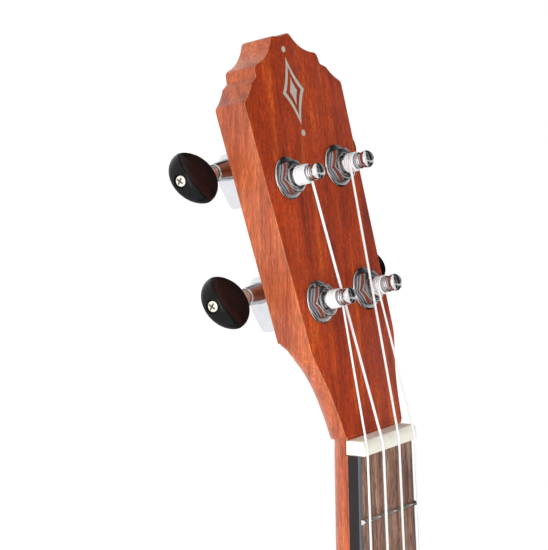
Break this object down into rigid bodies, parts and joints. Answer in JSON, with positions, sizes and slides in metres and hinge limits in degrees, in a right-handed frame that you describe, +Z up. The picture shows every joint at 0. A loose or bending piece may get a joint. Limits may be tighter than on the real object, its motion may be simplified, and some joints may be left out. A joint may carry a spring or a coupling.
{
  "type": "tenor ukulele",
  "caption": "Hollow-bodied tenor ukulele with a fretted neck, an angled scalloped headstock, and sealed worm-gear tuners whose buttons turn the string posts.",
  "frame": {"origin": "the point where a hanger's yoke carries the headstock, between the two ears just above the nut, at mid thickness", "axes": "+Z up along the neck towards the headstock, +Y out of the instrument's back, +X to the right seen from the front"},
  "size_m": [0.23, 0.0813, 0.6842],
  "materials": {
    "neck_wood": "satin open-grained reddish mahogany",
    "body_wood": "satin reddish mahogany",
    "block_wood": "raw pale wood",
    "fretboard_wood": "oiled dark brown rosewood",
    "bone": "polished cream",
    "fret_metal": "polished nickel silver",
    "chrome": "mirror chrome",
    "steel": "turned steel",
    "black_plastic": "glossy black",
    "nylon": "milky white nylon",
    "nickel": "bright nickel"
  },
  "bodies": {
    "root": {"neck": "neck_wood", "soundboard": "body_wood", "back": "body_wood", "rim": "body_wood", "neck_block": "block_wood", "tail_block": "block_wood", "fretboard": "fretboard_wood", "bridge": "fretboard_wood", "nut": "bone", "saddle": "bone", "fret_01": "fret_metal", "fret_02": "fret_metal", "fret_03": "fret_metal", "fret_04": "fret_metal", "fret_05": "fret_metal", "fret_06": "fret_metal", "fret_07": "fret_metal", "fret_08": "fret_metal", "fret_09": "fret_metal", "fret_10": "fret_metal", "fret_11": "fret_metal", "fret_12": "fret_metal", "fret_13": "fret_metal", "fret_14": "fret_metal", "fret_15": "fret_metal", "fret_16": "fret_metal", "fret_17": "fret_metal", "fret_18": "fret_metal", "string_g": "nylon", "tuner_g_washer": "chrome", "tuner_g_bushing": "chrome", "tuner_g_housing": "chrome", "string_c": "nylon", "tuner_c_washer": "chrome", "tuner_c_bushing": "chrome", "tuner_c_housing": "chrome", "string_e": "nylon", "tuner_e_washer": "chrome", "tuner_e_bushing": "chrome", "tuner_e_housing": "chrome", "string_a": "nylon", "tuner_a_washer": "chrome", "tuner_a_bushing": "chrome", "tuner_a_housing": "chrome"},
    "button_g": {"tuner_g_worm_shaft": "steel", "tuner_g_button": "black_plastic", "tuner_g_button_screw": "nickel"},
    "post_g": {"tuner_g_post": "chrome"},
    "button_c": {"tuner_c_worm_shaft": "steel", "tuner_c_button": "black_plastic", "tuner_c_button_screw": "nickel"},
    "post_c": {"tuner_c_post": "chrome"},
    "button_e": {"tuner_e_worm_shaft": "steel", "tuner_e_button": "black_plastic", "tuner_e_button_screw": "nickel"},
    "post_e": {"tuner_e_post": "chrome"},
    "button_a": {"tuner_a_worm_shaft": "steel", "tuner_a_button": "black_plastic", "tuner_a_button_screw": "nickel"},
    "post_a": {"tuner_a_post": "chrome"}
  },
  "joints": [
    {"name": "button_turn_g", "type": "hinge", "parent": "root", "child": "button_g", "pos_m": [-0.0151, 0.0216, 0.03396], "axis": [1, 0, 0], "continuous": true},
    {"name": "post_turn_g", "type": "hinge", "parent": "root", "child": "post_g", "pos_m": [-0.0151, 0.00056, 0.03093], "axis": [0, -0.9707, 0.2402], "continuous": true},
    {"name": "button_turn_c", "type": "hinge", "parent": "root", "child": "button_c", "pos_m": [-0.0162, 0.03268, 0.07871], "axis": [1, 0, 0], "continuous": true},
    {"name": "post_turn_c", "type": "hinge", "parent": "root", "child": "post_c", "pos_m": [-0.0162, 0.01163, 0.07568], "axis": [0, -0.9707, 0.2402], "continuous": true},
    {"name": "button_turn_e", "type": "hinge", "parent": "root", "child": "button_e", "pos_m": [0.0162, 0.03268, 0.07871], "axis": [1, 0, 0], "continuous": true},
    {"name": "post_turn_e", "type": "hinge", "parent": "root", "child": "post_e", "pos_m": [0.0162, 0.01163, 0.07568], "axis": [0, -0.9707, 0.2402], "continuous": true},
    {"name": "button_turn_a", "type": "hinge", "parent": "root", "child": "button_a", "pos_m": [0.0151, 0.0216, 0.03396], "axis": [1, 0, 0], "continuous": true},
    {"name": "post_turn_a", "type": "hinge", "parent": "root", "child": "post_a", "pos_m": [0.0151, 0.00056, 0.03093], "axis": [0, -0.9707, 0.2402], "continuous": true}
  ],
  "couplings": [
    {"joint": "post_turn_g", "follows": "button_turn_g", "ratio": 0.071429},
    {"joint": "post_turn_c", "follows": "button_turn_c", "ratio": 0.071429},
    {"joint": "post_turn_e", "follows": "button_turn_e", "ratio": -0.071429},
    {"joint": "post_turn_a", "follows": "button_turn_a", "ratio": -0.071429}
  ]
}
